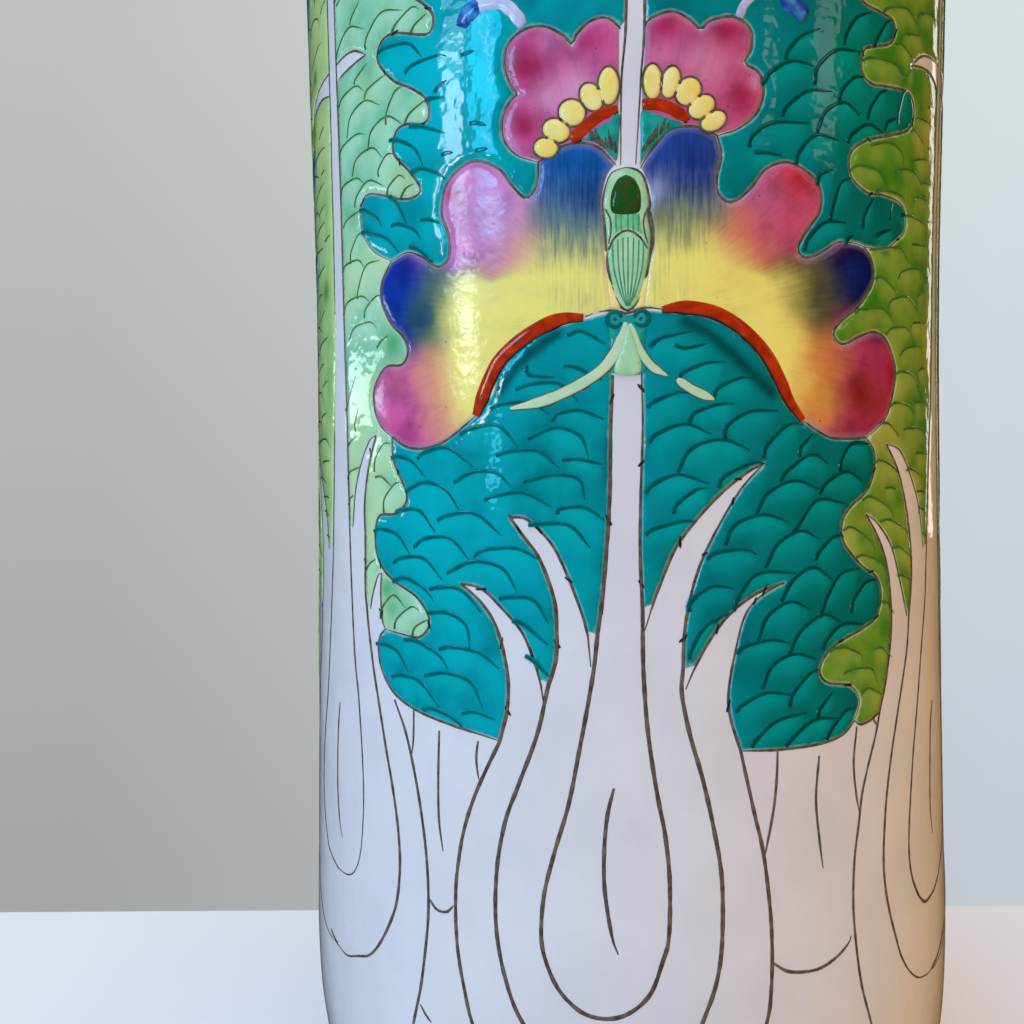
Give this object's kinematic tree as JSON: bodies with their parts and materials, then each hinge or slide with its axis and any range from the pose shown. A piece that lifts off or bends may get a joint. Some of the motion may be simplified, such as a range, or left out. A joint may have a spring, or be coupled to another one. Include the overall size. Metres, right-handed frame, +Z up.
{
  "type": "porcelain sleeve vase",
  "caption": "Tall waisted porcelain sleeve vase with a flared lip and foot ring, its wall covered in raised enamel cabbage leaves and butterflies.",
  "frame": {"origin": "centre of the foot ring, on the plane that the vase stands on", "axes": "+Z up along the vase's axis, the first butterfly faces -Y"},
  "size_m": [0.1346, 0.1346, 0.29],
  "materials": {
    "glazed_porcelain": "clear gloss glaze",
    "biscuit": "matt",
    "teal_enamel": "gloss",
    "green_enamel": "gloss",
    "pink_enamel": "gloss",
    "yellow_enamel": "gloss",
    "pale_green_enamel": "gloss"
  },
  "bodies": {
    "root": {"cylinder_wall": "glazed_porcelain", "base_disc": "glazed_porcelain", "foot_ring": "biscuit", "teal_leaf_upper_left_1": "teal_enamel", "teal_leaf_upper_right_1": "teal_enamel", "teal_leaf_lower_left_1": "teal_enamel", "teal_leaf_lower_right_1": "teal_enamel", "green_leaf_right_1": "green_enamel", "green_leaf_left_1": "green_enamel", "upper_wing_left_1": "pink_enamel", "upper_wing_right_1": "pink_enamel", "lower_wing_left_1": "yellow_enamel", "lower_wing_right_1": "yellow_enamel", "butterfly_body_1": "pale_green_enamel", "teal_leaf_upper_left_2": "teal_enamel", "teal_leaf_upper_right_2": "teal_enamel", "teal_leaf_lower_left_2": "teal_enamel", "teal_leaf_lower_right_2": "teal_enamel", "green_leaf_right_2": "green_enamel", "green_leaf_left_2": "green_enamel", "upper_wing_left_2": "pink_enamel", "upper_wing_right_2": "pink_enamel", "lower_wing_left_2": "yellow_enamel", "lower_wing_right_2": "yellow_enamel", "butterfly_body_2": "pale_green_enamel", "teal_leaf_upper_left_3": "teal_enamel", "teal_leaf_upper_right_3": "teal_enamel", "teal_leaf_lower_left_3": "teal_enamel", "teal_leaf_lower_right_3": "teal_enamel", "green_leaf_right_3": "green_enamel", "green_leaf_left_3": "green_enamel", "upper_wing_left_3": "pink_enamel", "upper_wing_right_3": "pink_enamel", "lower_wing_left_3": "yellow_enamel", "lower_wing_right_3": "yellow_enamel", "butterfly_body_3": "pale_green_enamel"}
  },
  "joints": []
}
